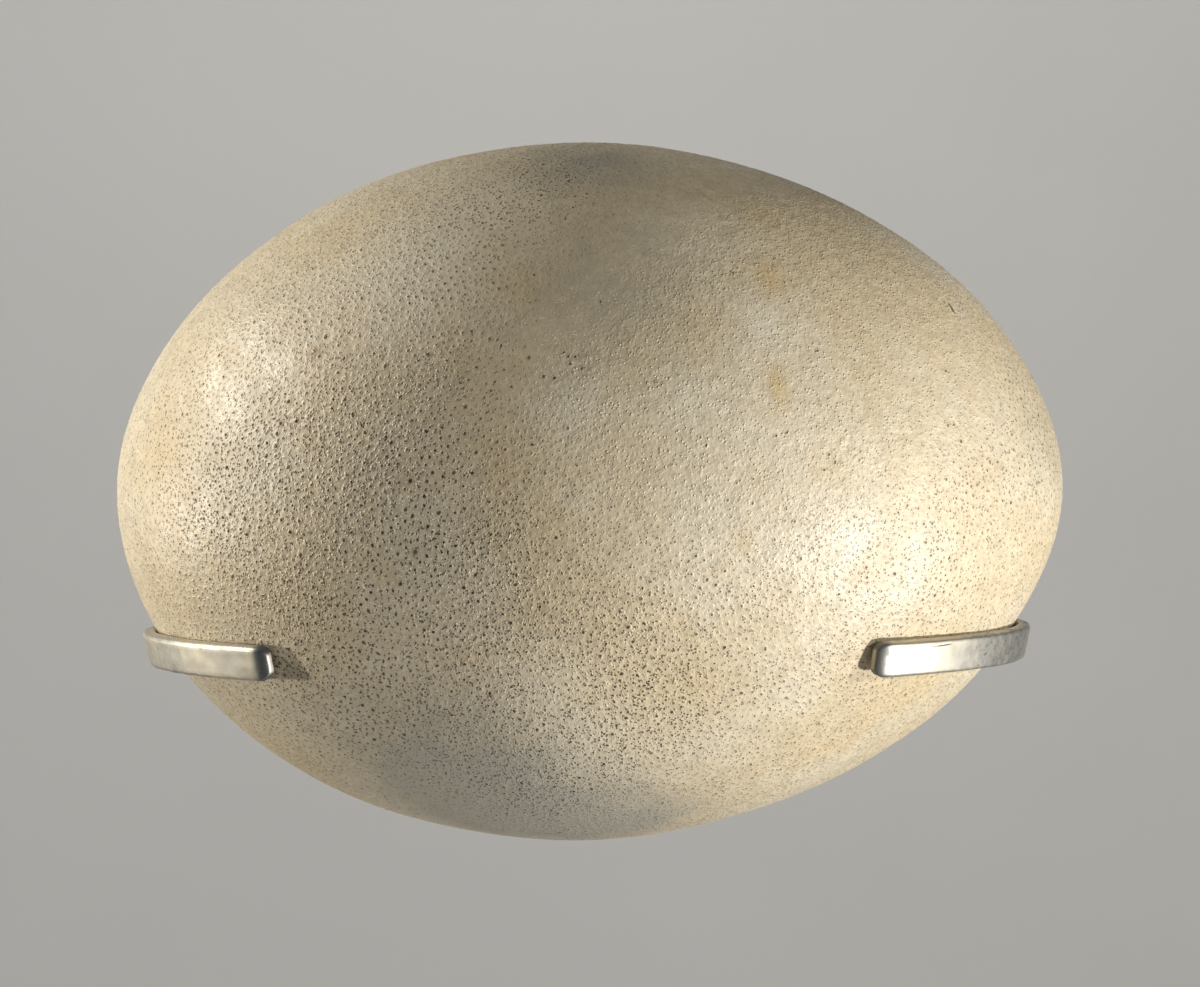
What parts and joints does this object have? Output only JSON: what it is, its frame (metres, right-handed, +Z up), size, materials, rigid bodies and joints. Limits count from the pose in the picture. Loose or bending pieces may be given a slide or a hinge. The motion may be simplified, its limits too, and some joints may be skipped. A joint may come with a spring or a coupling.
{
  "type": "elephant bird egg in a wall holder",
  "caption": "Giant fossil bird egg, cream and finely pored, lying on its side in an open ring of bent flat metal bars that a wall bracket carries from behind.",
  "frame": {"origin": "centre of the wall plate's back face, which lies on the wall", "axes": "+X along the egg's length towards its narrower end, +Y into the wall, +Z up"},
  "size_m": [0.3, 0.2609, 0.2218],
  "materials": {
    "shell": "satin",
    "bars": "satin",
    "bracket": "satin",
    "screws": "satin"
  },
  "bodies": {
    "root": {"egg": "shell", "left_arm": "bars", "right_arm": "bars", "wall_bracket": "bracket", "left_arm_screw": "screws", "right_arm_screw": "screws"}
  },
  "joints": []
}
